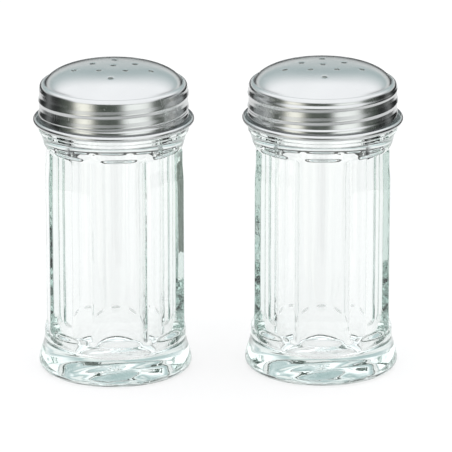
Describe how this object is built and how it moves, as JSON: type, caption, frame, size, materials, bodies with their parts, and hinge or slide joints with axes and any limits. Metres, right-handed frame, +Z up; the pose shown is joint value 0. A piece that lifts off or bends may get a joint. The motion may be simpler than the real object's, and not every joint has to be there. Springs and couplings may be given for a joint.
{
  "type": "salt and pepper shakers",
  "caption": "Pair of panelled clear glass salt and pepper shakers with perforated screw-on stainless steel caps.",
  "frame": {"origin": "on the surface that both shakers stand on, midway between their axes", "axes": "+X from the left shaker's axis to the right one's, +Y to the back, +Z up along both axes; the caps' stars of holes point about to the front, -Y"},
  "size_m": [0.1186, 0.0516, 0.1009],
  "materials": {
    "jar_glass": "clear pressed soda-lime glass, slightly grey-green where thick",
    "cap_steel": "polished stainless sheet with a soft satin sheen",
    "hem_steel": "polished stainless sheet, curled outward"
  },
  "bodies": {
    "left_jar": {"left_jar": "jar_glass"},
    "left_cap_rise": {"left_cap_hem": "hem_steel"},
    "left_cap": {"left_cap": "cap_steel"},
    "right_jar": {"right_jar": "jar_glass"},
    "right_cap_rise": {"right_cap_hem": "hem_steel"},
    "right_cap": {"right_cap": "cap_steel"}
  },
  "joints": [
    {"name": "right_jar_lift", "type": "slide", "parent": "left_jar", "child": "right_jar", "axis": [0, 0, 1], "range_m": [0, 0.12]},
    {"name": "left_cap_rise", "type": "slide", "parent": "left_jar", "child": "left_cap_rise", "axis": [0, 0, 1], "range_m": [0, 0.0127]},
    {"name": "left_cap_turn", "type": "hinge", "parent": "left_cap_rise", "child": "left_cap", "pos_m": [-0.0335, 0, 0.0947], "axis": [0, 0, 1], "range_deg": [0, 1080]},
    {"name": "right_cap_rise", "type": "slide", "parent": "right_jar", "child": "right_cap_rise", "axis": [0, 0, 1], "range_m": [0, 0.0127]},
    {"name": "right_cap_turn", "type": "hinge", "parent": "right_cap_rise", "child": "right_cap", "pos_m": [0.0335, 0, 0.0947], "axis": [0, 0, 1], "range_deg": [0, 1080]}
  ],
  "couplings": [
    {"joint": "left_cap_rise", "follows": "left_cap_turn", "m_per_rad": 0.00067376},
    {"joint": "right_cap_rise", "follows": "right_cap_turn", "m_per_rad": 0.00067376}
  ]
}
